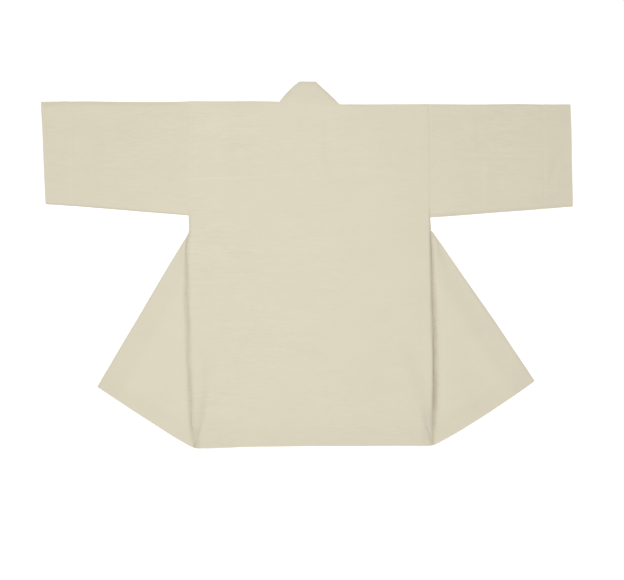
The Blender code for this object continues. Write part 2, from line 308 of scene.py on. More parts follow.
# Soft round lights over the coat, and how far the camera stands off the coat's middle
LIGHTS = {
    # name: (width, (x, y, z) from the coat's middle)
    "overhead": (1.4, (-0.12, 0.2, 3.4)),
    "front": (3.0, (-0.8, -4.6, 4.0)),
}
VIEW_OFFSET = (0.0122, -0.0631, 0.003)


# ---- sizes and colours


def length(name, description, default):
    return bpy.props.FloatProperty(
        name=name,
        description=description,
        default=default,
        min=0.0,
        subtype="DISTANCE",
        unit="LENGTH",
        precision=4,
    )


def colour(name, description, default):
    return bpy.props.FloatVectorProperty(
        name=name,
        description=description,
        default=default,
        min=0.0,
        max=1.0,
        size=3,
        subtype="COLOR",
    )


class HappiCut(bpy.types.PropertyGroup):
    """Sizes of the cut"""

    coat_length: length("Coat length", "From the shoulder fold to the hem", 0.841)
    body_width: length("Body width", "Across the back, seam to seam", 0.586)
    cuff_reach: length("Cuff reach", "From the centre back to a cuff", 0.650)
    armhole: length("Armhole", "From the shoulder fold to the underarm", 0.280)
    cuff: length("Cuff depth", "From the shoulder fold to the foot of a cuff", 0.250)
    gore_top: length("Gore top", "From the shoulder fold to the top of a gore", 0.313)
    gore_fold: length("Gore fold", "Along the fold of a gore, from its top to its tip", 0.443)
    neck_width: length("Neck width", "Across the opening of the neck", 0.150)
    band_width: length("Band width", "Across the finished neckband", 0.055)


class HappiCloth(bpy.types.PropertyGroup):
    """Sizes of the cloth, its hems and its seams"""

    ply: length("Cloth", "Thickness of the cloth", 0.0006)
    doubled: length("Turned hem", "Thickness where the cloth is turned under", 0.0011)
    band: length("Neckband", "Thickness of the finished neckband", 0.0015)
    hem: length("Hem", "How far the hem is turned up", 0.045)
    cuff_hem: length("Cuff hem", "How far a cuff is turned in", 0.068)
    lap: length("Seam allowance", "How far sleeves and gores run in under the body's edge", 0.012)
    valley_left: length("Left valley", "Depth of the valley along the left gore's seam", 0.0076)
    valley_right: length("Right valley", "Depth of the valley along the right gore's seam", 0.0094)
    yarn: length("Yarn pitch", "From one yarn of the weave to the next", 0.0005)
    stitch: length("Stitch", "Length of a stitch on the right side", 0.0024)
    stitch_pitch: length("Stitch pitch", "From one stitch to the next", 0.0036)
    thread: length("Thread", "Thickness of the sewing thread", 0.0003)


class HappiColours(bpy.types.PropertyGroup):
    """Colours of the cloth and of the studio"""

    # The coat is one cloth. The sleeves and the band are darker than the body as painted shade, where
    # less light falls: the right sleeve most.
    body: colour("Body", "Cloth of the back and fronts", (0.700, 0.652, 0.512))
    left_sleeve: colour("Left sleeve", "Cloth of the left sleeve", (0.691, 0.643, 0.505))
    right_sleeve: colour("Right sleeve", "Cloth of the right sleeve", (0.679, 0.632, 0.497))
    gores: colour("Gores", "Cloth of the gores", (0.706, 0.657, 0.516))
    band: colour("Neckband", "Cloth of the neckband", (0.686, 0.639, 0.501))
    thread: colour("Thread", "Sewing thread", (0.700, 0.655, 0.520))
    floor: colour("Floor", "Plain floor", (0.97, 0.97, 0.97))


class HappiStudio(bpy.types.PropertyGroup):
    """The camera and the lights"""

    view_width: length("View width", "What the camera sees across, at the coat", 1.5277)
    camera_height: length("Camera height", "How high the camera is over the floor", 2.5)
    sky: bpy.props.FloatProperty(
        name="Sky", description="Strength of the even light from all round", default=0.24, min=0.0
    )
    overhead: bpy.props.FloatProperty(
        name="Overhead", description="Power of the soft light overhead, in watts", default=86.0, min=0.0
    )
    front: bpy.props.FloatProperty(
        name="Front",
        description="Power of the soft light beyond the hem, in watts",
        default=49.0,
        min=0.0,
    )


# ---- the square cut and its lay


def ease(share):
    """0 to 1 with level ends."""
    share = np.clip(share, 0.0, 1.0)
    return share * share * (3 - 2 * share)


def rise(share):
    """0 to 1, steep at first and level at the end."""
    return np.sin(np.clip(share, 0.0, 1.0) * math.pi / 2)


def bulge(share, roundness=2.0):
    """0 to 1 like the side of a pillow: steep at first and level at the end."""
    return 1 - (1 - np.clip(share, 0.0, 1.0)) ** roundness


def mix(first, second, share):
    return first + (second - first) * share


def by_side(x, left, right):
    """left where x is below 0, else right."""
    return np.where(np.asarray(x) < 0, left, right)


def marks(*stops):
    """Places along a line. Each stop is (place, step from there to the next stop)."""
    places = []
    for (start, step), (end, _) in zip(stops, stops[1:]):
        count = max(1, round((end - start) / step))
        places += list(np.linspace(start, end, count + 1)[:-1])
    return np.array(places + [stops[-1][0]])


def arc(count):
    """Angles from straight up, round the outside, to straight down, without the two ends."""
    return np.linspace(math.pi / 2, -math.pi / 2, count + 1)[1:-1]


def waves(seed, shortest, longest, height, count=22):
    """A soft unevenness: a function of x and depth whose size is about the given height."""
    draw = np.random.default_rng(seed)
    size = np.geomspace(shortest, longest, count)
    heading = draw.uniform(0, math.pi, count)
    phase = draw.uniform(0, 2 * math.pi, count)
    weight = size / math.sqrt((size**2).sum() / 2)
    across = 2 * math.pi * np.cos(heading) / size
    down = 2 * math.pi * np.sin(heading) / size

    def uneven(x, depth):
        x, depth = np.broadcast_arrays(x, depth)
        angle = x[..., None] * across + depth[..., None] * down + phase
        return height * (weight * np.sin(angle)).sum(-1)

    return uneven


hand_spread_x = waves(11, 0.11, 0.42, 0.00045)
hand_spread_y = waves(12, 0.11, 0.42, 0.00045)
upper_uneven = waves(13, 0.07, 0.30, 0.00030)
lower_uneven = waves(14, 0.05, 0.20, 0.00012)
seam_uneven = waves(15, 0.03, 0.16, 1.0)


def varies(form, side, depth):
    """A factor of about 1 that varies along a seam."""
    share, track = SEAM_VARIES[form]
    return 1 + share * seam_uneven(side * track, depth)


def creased(x, depth, creases):
    """How far the creases lift the cloth here."""
    lift = 0.0
    for start_x, start_depth, end_x, end_depth, half_width, height in creases:
        run_x, run_depth = end_x - start_x, end_depth - start_depth
        long = math.hypot(run_x, run_depth)
        along = ((x - start_x) * run_x + (depth - start_depth) * run_depth) / long**2
        across = np.abs((x - start_x) * run_depth - (depth - start_depth) * run_x) / long
        lift = lift + height * ease(3 * along) * ease(3 * (1 - along)) * (1 - ease(across / half_width))
    return lift


def hidden_uneven(x, depth):
    """Unevenness of a sleeve's or a gore's lower layer, which only stands up from the floor."""
    return np.maximum(lower_uneven(x, depth) + creased(x, depth, HIDDEN_CREASES), 0)


def pressed(x, depth, widest=0.0105, highest=0.0006):
    """How much painted highlight the sharp creases get on a ridge, up to 1, and painted shade in a
    trough, down to -1.
    """
    sharp = [crease for crease in CREASES if crease[4] <= widest]
    return np.clip(creased(x, depth, sharp) / highest, -1, 1)


class Coat:
    """The coat's cut and lay at the sizes that are set."""

    def __init__(self):
        scene = bpy.context.scene
        cut, cloth = scene.happi_cut, scene.happi_cloth
        self.length = cut.coat_length
        self.half = cut.body_width / 2
        self.reach = cut.cuff_reach
        self.armhole = cut.armhole
        self.cuff = cut.cuff
        self.gore_top = cut.gore_top
        self.gore_fold = cut.gore_fold
        self.neck = cut.neck_width / 2
        self.band_width = cut.band_width
        self.ply = cloth.ply
        self.doubled = cloth.doubled
        self.band = cloth.band
        self.hem = cloth.hem
        self.cuff_hem = cloth.cuff_hem
        self.lap = cloth.lap
        self.valley = {-1: cloth.valley_left, 1: cloth.valley_right}
        self.gore_seam = self.length - self.gore_top
        self.gore_hem = math.sqrt(self.gore_seam**2 - self.gore_fold**2)
        self.tip_out = self.gore_fold * self.gore_hem / self.gore_seam
        self.tip_depth = self.gore_top + self.gore_fold**2 / self.gore_seam
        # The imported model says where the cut's origin, at the neck, lies
        self.origin_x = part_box("sleeve_right")[1].x - self.reach
        self.origin_y = body_low.y + self.length - LAY["hem"][0][1]

    # the lay

    def shift(self, corner, side):
        left, right = LAY[corner]
        return np.where(np.asarray(side)[..., None] < 0, left, right)

    def side_shift(self, side, depth):
        """Shift of a point on the body's side edge."""
        stations = (
            (0.0, "shoulder"),
            (self.armhole, "armhole_foot"),
            (self.gore_top, "gore_top"),
            (self.length, "hem"),
        )
        depths = [place for place, _ in stations]
        both = []
        for axis in (0, 1):
            left, right = (
                np.interp(depth, depths, [LAY[corner][hand][axis] for _, corner in stations])
                for hand in (0, 1)
            )
            both.append(by_side(side, left, right))
        return np.stack(both, -1)

    def by_hand(self, table, side, depth):
        """What a table of (depth, left, right) says here, eased over its bends."""
        depths, left, right = np.array(table).T
        mean = 0.0
        for ahead in EASING_STEPS:
            near = depth + ahead
            here = by_side(side, np.interp(near, depths, left), np.interp(near, depths, right))
            mean = mean + here / len(EASING_STEPS)
        return mean

    def gore_reach(self, depth):
        """How far out of the body's side a gore reaches."""
        above = (depth - self.gore_top) / (self.tip_depth - self.gore_top)
        below = (self.length - depth) / (self.length - self.tip_depth)
        return self.tip_out * np.minimum(above, below)

    def gore_bow(self, side, out, depth):
        """Shift that bows a gore's fold and hem out."""
        fold_out = self.tip_out / self.gore_fold
        fold_down = (self.tip_depth - self.gore_top) / self.gore_fold
        down = (out * fold_out + (depth - self.gore_top) * fold_down) / self.gore_fold
        down = np.clip(down, 1e-6, 1)
        to_fold = (depth - self.gore_top) * fold_out - out * fold_down
        inward = np.clip(to_fold / (down * self.gore_hem), 0, 1)
        fold, hem = (by_side(side, left, right) for left, right in zip(GORE_BOW[-1], GORE_BOW[1]))
        push_fold = fold * 4 * down * (1 - down) * (1 - inward)
        push_hem = hem * 4 * inward * (1 - inward) * down**2
        return np.stack(
            [
                side * (push_fold * fold_down + push_hem * fold_out),
                push_fold * fold_out - push_hem * fold_down,
            ],
            -1,
        )

    def neck_shift(self, side, depth):
        """Shift of a point on the line of the body's front edge."""
        share = (1 + np.asarray(side) * self.neck / self.half) / 2
        at_hem = mix(self.shift("hem", -1), self.shift("hem", 1), share[..., None])
        down = np.clip(depth / self.length, 0, 1)[..., None]
        return mix(self.shift("neck", side), at_hem, down)

    def body_shift(self, x, depth):
        side = by_side(x, -1, 1)
        out = np.clip((np.abs(x) - self.neck) / (self.half - self.neck), 0, 1)[..., None]
        beyond = mix(self.neck_shift(side, depth), self.side_shift(side, depth), out)
        near_edge = np.clip(1 - (self.half - np.abs(x)) / SEAM_BOW_FADES, 0, 1)
        beyond[..., 0] += self.by_hand(SEAM_BOW, side, depth) * near_edge
        left, right = self.neck_shift(-1, depth), self.neck_shift(1, depth)
        across = mix(left, right, (1 + np.clip(x / self.neck, -1, 1)[..., None]) / 2)
        up = np.clip(-depth / self.band_width, 0, 1)[..., None]
        within = mix(across, self.shift("band_top", side), up)
        within = within + 4 * up * (1 - up) * by_side(x[..., None], BAND_BOW, 0.0)
        return np.where(np.abs(x)[..., None] > self.neck, beyond, within)

    def laid(self, x, depth, height):
        """Where points of the square cut lie."""
        x, depth, height = np.broadcast_arrays(x, depth, height)
        side = by_side(x, -1, 1)
        out = np.maximum(np.abs(x) - self.half, 0)[..., None]
        body = self.body_shift(x, depth)
        # A sleeve's shift runs on a little past the two corners of its cuff
        down = np.clip(depth / self.cuff, -0.1, 1.2)[..., None]
        at_cuff = mix(self.shift("cuff_top", side), self.shift("cuff_foot", side), down)
        sleeve = mix(body, at_cuff, out / (self.reach - self.half))
        at_tip = self.shift("gore_tip", side) - self.side_shift(side, np.full(x.shape, self.tip_depth))
        gore = body + at_tip * out / self.tip_out
        share = out[..., 0] / np.maximum(self.gore_reach(depth), out[..., 0] + 1e-9)
        gore[..., 0] -= self.by_hand(SEAM_BOW, side, depth) * share
        gore = gore + self.gore_bow(side, out[..., 0], depth)
        on_sleeve = (depth < (self.armhole + self.gore_top) / 2)[..., None]
        move = np.where(on_sleeve, sleeve, gore)
        return np.stack(
            [
                x + move[..., 0] + hand_spread_x(x, depth) + self.origin_x,
                move[..., 1] - depth + hand_spread_y(x, depth) + self.origin_y,
                height,
            ],
            -1,
        )

    # the body's heights

    def body_turned(self, depth):
        """1 where the hem is turned under, else 0."""
        return ease((depth - self.length + self.hem) / HEM_STEP + 0.5)

    def body_ply(self, depth):
        return mix(self.ply, self.doubled, self.body_turned(depth))

    def at_gore(self, depth):
        """0 at the armhole to 1 beside a gore."""
        starts_above, long = 0.075, 0.115
        return ease((depth - self.gore_top + starts_above) / long)

    def seam_rest(self, depth):
        """Height of the back's edge, on the laps of a sleeve or gore or on the front itself."""
        past_sleeve, past_gore, ramp = 0.004, 0.006, 0.010
        below_sleeve = ease((depth - self.armhole + past_sleeve) / ramp)
        above_gore = ease((self.gore_top + past_gore - depth) / ramp)
        bare = self.body_ply(depth) / 2 + self.ply + CLEARANCE
        on_lap = self.upper_lap(depth) + self.ply + CLEARANCE
        return mix(bare, on_lap, 1 - below_sleeve * above_gore)

    def lower_lap(self, depth):
        """Height of a lower layer's edge, on the front."""
        return self.body_ply(depth) + self.body_ply(depth) / 2 + CLEARANCE

    def upper_lap(self, depth):
        return self.lower_lap(depth) + self.body_ply(depth) + CLEARANCE

    def front(self, x, depth):
        flat_edge, deepest_dip = 0.03, 0.00004
        resting = self.body_ply(depth) / 2 + CLEARANCE
        inside = ease((self.half - np.abs(x)) / flat_edge)
        uneven = np.maximum(lower_uneven(x, depth), -deepest_dip) + creased(x, depth, HIDDEN_CREASES)
        return resting + inside * np.maximum(uneven, 0)

    def shoulder_height(self, x):
        """Height of the back where it starts to turn over the shoulder."""
        rises_within = 0.05
        inside = ease((self.half - np.abs(x)) / rises_within)
        return mix(self.seam_rest(0.0), by_side(x, *SHOULDER_HIGH), inside)

    def back(self, x, depth):
        """Height of the back, with air under it and its edges sewn down."""
        side = by_side(x, -1, 1)
        inward = self.half - np.abs(x)
        gore = self.at_gore(depth)
        above_hem = ease((self.length - depth) / HEM_FLATTENS)
        edge = self.seam_rest(depth)

        # A plateau beside the seams. The armhole's is highest at the top of the right sleeve.
        right_top, right_foot, top_long = 0.0012, 0.0006, 0.20
        armhole_step = by_side(x, 0.0004, mix(right_top, right_foot, ease(depth / top_long)))
        valley = by_side(x, self.valley[-1], self.valley[1]) * varies("valley", side, depth)
        beside_gore, least_step = 0.6, 0.001
        plateau = self.seam_rest(beside_gore) + valley * mix(by_side(x, *BACK_PLATEAU), 1.0, above_hem)
        plateau = mix(edge + armhole_step, np.maximum(plateau, edge + least_step), gore)

        # From the plateau the cloth slopes inland to the back's middle
        middle_high, lower_adds, lower_starts, lower_long = 0.0034, 0.0004, 0.3, 0.3
        middle = middle_high + lower_adds * ease((depth - lower_starts) / lower_long)
        middle = mix(self.upper_lap(depth) - self.ply, middle, above_hem)
        plateau_wide, slope_at_armhole, slope_at_gore = 0.010, 0.060, 0.120
        inland = ease((inward - plateau_wide) / mix(slope_at_armhole, slope_at_gore, gore))
        height = mix(plateau, middle, inland)

        # It rolls down to its seams, and falls in one slope at the hem's corners
        armhole_roll, slope_roundness = 0.006, 1.25
        roll = mix(armhole_roll, by_side(x, *BACK_ROLL), gore) * varies("roll", side, depth)
        rolled = bulge(inward / roll, by_side(x, *BACK_ROUNDNESS))
        slope = bulge(inward / self.by_hand(CORNER_WIDTH, x, depth), slope_roundness)
        rolled = mix(rolled, slope, self.by_hand(CORNER_SHARE, x, depth))
        height = edge + (height - edge) * rolled

        sewn_down = 0.006
        free = ease(inward / sewn_down)
        uneven = upper_uneven(x, depth) * mix(FLATTER_AT_HEM, 1.0, above_hem)
        height = height + free * (creased(x, depth, CREASES) + uneven)

        # The shoulder fold is rounder at the left than at the right
        turns_at = 0.0012
        over = rise((depth - turns_at) / by_side(x, *SHOULDER_ROLL))
        return mix(self.shoulder_height(x), height, over)

    # the sleeves' heights

    def sleeve_turned(self, out):
        return ease((out - (self.reach - self.half) + self.cuff_hem) / CUFF_STEP + 0.5)

    def sleeve_ply(self, out):
        return mix(self.ply, self.doubled, self.sleeve_turned(out))

    def sleeve_foot(self, out):
        """Depth of the underarm seam."""
        return mix(self.armhole, self.cuff, np.maximum(out, 0) / (self.reach - self.half))

    def sleeve_lower(self, side, out, depth):
        resting = self.sleeve_ply(out) / 2 + CLEARANCE
        height = mix(self.lower_lap(depth * 0), resting, ease(out / LAP_FALLS))
        flat_edge = 0.02
        inside = ease(depth / flat_edge) * ease((self.sleeve_foot(out) - depth) / flat_edge)
        uneven = hidden_uneven(side * (self.half + out), depth)
        return height + uneven * (inside * ease(out / flat_edge))

    def sleeve_upper(self, side, out, depth):
        """Height of a sleeve's upper layer, from the fold at the shoulder to the underarm seam."""
        x = side * (self.half + out)
        foot = self.sleeve_foot(out)
        seam = self.upper_lap(depth * 0)
        crown, belly, fold_roll, underarm_roll = SLEEVE_PUFF[side]
        air, lap_falls = 0.0002, 0.02
        resting = self.sleeve_ply(out) * 1.5 + air
        edge = mix(seam, resting, ease(out / lap_falls))
        crown_deep, turned_adds = 0.07, 0.00012
        puffed = mix(crown, belly, ease(depth / crown_deep))
        puffed = puffed + (creased(x, depth, CREASES) + upper_uneven(x, depth))
        puffed = puffed + turned_adds * self.sleeve_turned(out)
        turns_at, seam_wide = 0.0015, 0.0012
        top = rise((depth - turns_at) / fold_roll)
        bottom = bulge((foot - depth - seam_wide) / underarm_roll)
        sewn_down, rises_within, away_within = 0.002, 0.045, 0.010
        near_armhole = mix(seam + air, puffed, ease((out - sewn_down) / rises_within))
        height = mix(edge, near_armhole, top * bottom)
        return mix(seam, height, rise(out / away_within))

    # the gores' heights

    def gore_turned(self, down):
        return ease((down * self.gore_fold - self.gore_fold + self.hem) / HEM_STEP + 0.5)

    def gore_ply(self, down):
        return mix(self.ply, self.doubled, self.gore_turned(down))

    def gore_rests(self, down):
        """Heights of the lower and the upper layer where they meet at the fold."""
        fold_opens = 0.0004
        return self.gore_ply(down) / 2 + CLEARANCE, self.gore_ply(down) * 1.5 + fold_opens

    def gore_lower(self, side, out, depth, down):
        flat_edge = 0.03
        resting, _ = self.gore_rests(down)
        height = mix(self.lower_lap(depth), resting, ease(out / LAP_FALLS))
        uneven = hidden_uneven(side * (self.half + out), depth)
        return height + uneven * ease(out / flat_edge)

    def gore_upper(self, side, out, depth, down, to_fold):
        """Height of a gore's upper layer, from the valley at its seam to its fold."""
        x = side * (self.half + out)
        seam = self.upper_lap(depth)
        crest_share, roll = GORE_PUFF[side]
        # Near its top the gore is narrow, and puffed less
        full_width, least_puff, least_roll = 0.110, 0.18, 0.6
        width = to_fold + out
        wide = ease(width / full_width)
        above_hem = ease((1 - down) * self.gore_fold / HEM_FLATTENS)
        valley = self.valley[side] * varies("gore valley", side, depth)
        crest_at_hem, far = 0.75, 0.0012
        crest = crest_share * valley * mix(crest_at_hem, 1.0, above_hem)
        crest_wide, margin, shortest, longest = 0.010, 0.016, 0.010, 0.170
        fall = np.clip(width - margin, shortest, longest)
        puffed = seam + mix(crest, far, ease((out - crest_wide) / fall)) * mix(least_puff, 1.0, wide)
        flat_edge, fold_roll = 0.02, 0.007
        uneven = upper_uneven(x, depth) * mix(FLATTER_AT_HEM, 1.0, above_hem)
        uneven = creased(x, depth, CREASES) + uneven
        puffed = puffed + uneven * ease(out / flat_edge) * wide
        roll = roll * varies("gore roll", side, depth) * mix(least_roll, 1.0, wide)
        height = mix(seam, puffed, bulge(out / roll))
        _, at_fold = self.gore_rests(down)
        return mix(at_fold, height, rise(to_fold / fold_roll))


# ---- making pieces

# Marks carried on the cloth: painted shade over turned hems, lighter edges with a painted highlight
# below the shoulder's fold, painted shade in valleys (below 0, painted light), and painted highlight and
# shade on sharp creases
CLOTH_MARKS = ("turned", "rub", "dust", "pressed")
# The colour that painted shade darkens the cloth towards
SHADE_COLOUR = (0.374, 0.319, 0.297)
SHADE_SHARE = 0.10  # how much of the painted shade's colour shows where the mark is 1


def sew(name, place, cut, ply, material, keep=None, ring=False, **marks_on_cloth):
    """A closed wall of cloth whose middle passes through place[row][column].

    cut holds the place on the cloth in metres and ply the thickness. The marks on the cloth are
    turned, where a hem is turned under, rub, where an edge is rubbed, dust, which a valley keeps,
    and pressed, along a sharp crease. A ring closes on itself across, and its cut has one column
    more.
    """
    rows, columns = place.shape[:2]
    row, column = np.mgrid[0 : rows - 1, 0 : columns if ring else columns - 1]
    wanted = np.ones(row.shape, bool) if keep is None else keep(row, column)
    beside = (column + 1) % columns
    corners = [(row, column), (row, beside), (row + 1, beside), (row + 1, column)]
    quads = np.stack([r * columns + c for r, c in corners], -1)[wanted]
    used, numbers = np.unique(quads, return_inverse=True)
    mesh = bpy.data.meshes.new(name)
    mesh.from_pydata(place.reshape(-1, 3)[used].tolist(), [], numbers.reshape(-1, 4).tolist())
    on_cut = [(row, column), (row, column + 1), (row + 1, column + 1), (row + 1, column)]
    corner_cut = np.stack([cut[r, c] for r, c in on_cut], -2)[wanted]
    mesh.uv_layers.new(name="cut").data.foreach_set("uv", corner_cut.astype(np.float32).ravel())
    shape = (rows, columns)
    for word in CLOTH_MARKS:
        values = np.broadcast_to(marks_on_cloth.get(word, 0.0), shape).reshape(-1)[used]
        mesh.attributes.new(word, "FLOAT", "POINT").data.foreach_set("value", values.astype(np.float32))
    piece = bpy.data.objects.new(name, mesh)
    bpy.context.scene.collection.objects.link(piece)

    thickness = np.broadcast_to(ply, shape).reshape(-1)[used]
    thickest = float(thickness.max())
    thinnest = min(float(thickness.min()), 0.999 * thickest)
    group = piece.vertex_groups.new(name="thickness")
    share = (thickness - thinnest) / (thickest - thinnest)
    for number, weight in enumerate(share.tolist()):
        group.add([number], weight, "REPLACE")
    wall = piece.modifiers.new("wall", "SOLIDIFY")
    wall.thickness = thickest
    wall.offset = 0
    wall.vertex_group = group.name
    wall.thickness_vertex_group = thinnest / thickest
    make_plain(piece)
    piece.vertex_groups.clear()
    piece.data.materials.append(material)
    return piece


def make_plain(piece):
    """Give a piece the mesh that its modifiers make of it, smooth but for its rims."""
    graph = bpy.context.evaluated_depsgraph_get()
    before = piece.data
    mesh = bpy.data.meshes.new_from_object(piece.evaluated_get(graph))
    mesh.name = piece.name
    piece.modifiers.clear()
    piece.data = mesh
    if before.users == 0:
        bpy.data.meshes.remove(before)
    mesh.shade_smooth()
    mesh.set_sharp_from_angle(angle=math.radians(50))


def hand_over(piece, node):
    """Hang a piece of cloth under the root, and hide the solid that it stands for."""
    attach(piece, "root")
    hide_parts(node)


# ---- materials


def feed(tree, node, inputs):
    """Link what is a socket to the node's inputs, and set the others to what is given."""
    for key, value in dict(inputs).items():
        if isinstance(value, bpy.types.NodeSocket):
            tree.links.new(value, node.inputs[key])
        else:
            node.inputs[key].default_value = value


def add_node(tree, kind, inputs=(), **settings):
    node = tree.nodes.new(kind)
    for name, value in settings.items():
        setattr(node, name, value)
    feed(tree, node, inputs)
    return node


def new_material(name):
    """A material, its node tree and its shader."""
    material = bpy.data.materials.new(name)
    material.use_nodes = True
    return material, material.node_tree, material.node_tree.nodes["Principled BSDF"]


def calc(tree, operation, first, second=0.0, third=0.0):
    """The result of a Math node."""
    return add_node(
        tree, "ShaderNodeMath", {0: first, 1: second, 2: third}, operation=operation
    ).outputs[0]


def scaled(tree, colour, factor):
    return add_node(
        tree, "ShaderNodeVectorMath", {0: colour, "Scale": factor}, operation="SCALE"
    ).outputs[0]


def remap(tree, value, low, high, least=0.0):
    """value, from low to high, as least to 1."""
    return add_node(
        tree, "ShaderNodeMapRange", {"Value": value, "From Min": low, "From Max": high, "To Min": least}
    ).outputs[0]


def patches(tree, u, v, long, high, seed, detail=2.0):
    """Noise between 0 and 1 whose patches are about this long across and this high."""
    place = add_node(
        tree,
        "ShaderNodeCombineXYZ",
        {0: calc(tree, "DIVIDE", u, long), 1: calc(tree, "DIVIDE", v, high), 2: seed},
    ).outputs[0]
    return add_node(
        tree,
        "ShaderNodeTexNoise",
        {"Vector": place, "Scale": 1.0, "Detail": detail, "Roughness": 0.5},
        noise_dimensions="3D",
    ).outputs[0]


def dashes(tree, u, v, long, high, seed):
    """Noise between 0 and 1 in straight rows of one height, each row drawn apart from the next."""
    row = calc(tree, "FLOOR", calc(tree, "DIVIDE", v, high))
    row_apart = 1.37
    return patches(tree, u, calc(tree, "MULTIPLY", row, row_apart), long, 1.0, seed, detail=1.0)


def extremes(tree, noise, start, full):
    """Two masks, of where the noise is well above 0.5 and of where it is well below."""
    return (remap(tree, noise, 0.5 + way * start, 0.5 + way * full) for way in (1, -1))


def cloth_material(name, colour, slubby=1.0, hem_shade=0.005, shade_and_slubs_across=False):
    """Matt plain-weave cotton with slubs along the weft, in metres of the piece's own cut.

    The hem's tone is painted shade: how much darker the cloth is painted where a hem is turned under.
    """
    material, tree, shader = new_material(name)
    yarn = bpy.context.scene.happi_cloth.yarn
    cut = add_node(tree, "ShaderNodeUVMap", uv_map="cut").outputs[0]
    u, v, _ = add_node(tree, "ShaderNodeSeparateXYZ", {0: cut}).outputs

    # Plain weave: weft and warp yarns, round across, that take turns on top
    warp = calc(tree, "SINE", calc(tree, "MULTIPLY", u, math.pi / yarn))
    weft = calc(tree, "SINE", calc(tree, "MULTIPLY", v, math.pi / yarn))
    turns = calc(tree, "MULTIPLY", warp, weft)
    weft_on_top = remap(tree, turns, -0.5, 0.5)
    weave = add_node(
        tree,
        "ShaderNodeMix",
        {"Factor": weft_on_top, "A": calc(tree, "ABSOLUTE", warp), "B": calc(tree, "ABSOLUTE", weft)},
        data_type="FLOAT",
    ).outputs[0]

    # Slubs: lengths of thick and thin yarn, alone and a few side by side
    slub = dashes(tree, u, v, *NOISE["slub"])
    thick_yarn, thin_yarn = extremes(tree, slub, 0.08, 0.15)
    bars = dashes(tree, u, v, *NOISE["bar"])
    thick_bar, thin_bar = extremes(tree, bars, 0.05, 0.12)
    wide_bars = dashes(tree, u, v, *NOISE["wide bar"])
    where = remap(tree, patches(tree, u, v, *NOISE["slubby place"]), 0.35, 0.65, least=0.3)
    where = calc(tree, "MULTIPLY", where, slubby)
    if shade_and_slubs_across:
        leftness = remap(tree, u, 0.25, -0.12, least=0.4)
        where = calc(tree, "MULTIPLY", where, leftness)
    mottle = patches(tree, u, v, *NOISE["mottle"])
    warp_tone = patches(tree, u, v, *NOISE["warp"])

    # Tone: 1 with small differences, some of them painted light and shade
    turned, rub, dust, crest = (
        add_node(tree, "ShaderNodeAttribute", attribute_name=word).outputs["Fac"] for word in CLOTH_MARKS
    )
    tone = 1.0
    # Painted shade: the back darkens towards its right side, where less light falls
    if shade_and_slubs_across:
        right_shade_share = remap(tree, u, 0.02, 0.24)
        tone = calc(tree, "MULTIPLY_ADD", right_shade_share, PAINTED_SHADE_RIGHT, tone)
    for part, amount in (
        (calc(tree, "MULTIPLY", calc(tree, "SUBTRACT", thick_yarn, thin_yarn), where), TONE["slub"]),
        (calc(tree, "MULTIPLY", calc(tree, "SUBTRACT", thick_bar, thin_bar), where), TONE["bar"]),
        (calc(tree, "MULTIPLY", calc(tree, "SUBTRACT", wide_bars, 0.5), where), TONE["wide bar"]),
        (calc(tree, "SUBTRACT", warp_tone, 0.5), TONE["warp"]),
        (calc(tree, "SUBTRACT", mottle, 0.5), TONE["mottle"]),
        (calc(tree, "SUBTRACT", weave, 0.6), TONE["weave"]),
        # Painted shade over turned hems, lighter edges with a painted highlight below the shoulder's
        # fold, and painted highlight and shade on sharp creases
        (turned, -hem_shade),
        (rub, TONE["rub"]),
        (crest, TONE["crest"]),
    ):
        tone = calc(tree, "MULTIPLY_ADD", part, amount, tone)
    toned = scaled(tree, colour, tone)
    # Painted shade: mixed towards a darker colour where its mark is above 0, and away from it, as
    # painted light, below 0
    shaded = add_node(
        tree,
        "ShaderNodeMix",
        {"Factor": calc(tree, "MULTIPLY", dust, SHADE_SHARE), "A": toned, "B": (*SHADE_COLOUR, 1.0)},
        data_type="RGBA",
        clamp_factor=False,
    )
    # Thick yarns and gaps between yarns look a little warmer
    warm = add_node(
        tree,
        "ShaderNodeMix",
        {
            "Factor": calc(tree, "MULTIPLY", thick_yarn, 0.25),
            "A": shaded.outputs["Result"],
            "B": (colour[0] * 1.02, colour[1] * 1.0, colour[2] * 0.95, 1.0),
        },
        data_type="RGBA",
    )
    rough = calc(tree, "MULTIPLY_ADD", slub, 0.14, 0.80)

    relief = calc(tree, "MULTIPLY_ADD", thick_yarn, 0.6, weave)
    fine = add_node(
        tree, "ShaderNodeBump", {"Height": relief, "Strength": 0.35, "Distance": 0.00012}
    ).outputs[0]
    broad = calc(tree, "ADD", thick_bar, thick_yarn)
    coarse = add_node(
        tree,
        "ShaderNodeBump",
        {"Height": broad, "Strength": 0.3, "Distance": 0.0001, "Normal": fine},
    ).outputs[0]
    feed(
        tree,
        shader,
        {
            "Base Color": warm.outputs["Result"],
            "Roughness": rough,
            "Specular IOR Level": 0.22,
            "Sheen Weight": 0.10,
            "Sheen Roughness": 0.5,
            "Normal": coarse,
        },
    )
    return material


def thread_material(colour):
    """Twisted cotton thread."""
    material, tree, shader = new_material("sewing_thread")
    place = add_node(tree, "ShaderNodeTexCoord").outputs["Object"]
    twist = add_node(
        tree, "ShaderNodeTexNoise", {"Vector": place, "Scale": 2600.0, "Detail": 2.0}
    ).outputs[0]
    tone = calc(tree, "MULTIPLY_ADD", twist, 0.16, 0.92)
    toned = scaled(tree, colour, tone)
    rough = calc(tree, "MULTIPLY_ADD", twist, 0.2, 0.55)
    bump = add_node(tree, "ShaderNodeBump", {"Height": twist, "Strength": 0.5, "Distance": 0.0001})
    feed(
        tree,
        shader,
        {
            "Base Color": toned,
            "Roughness": rough,
            "Normal": bump.outputs[0],
            "Specular IOR Level": 0.3,
        },
    )
    return material


# ---- operators


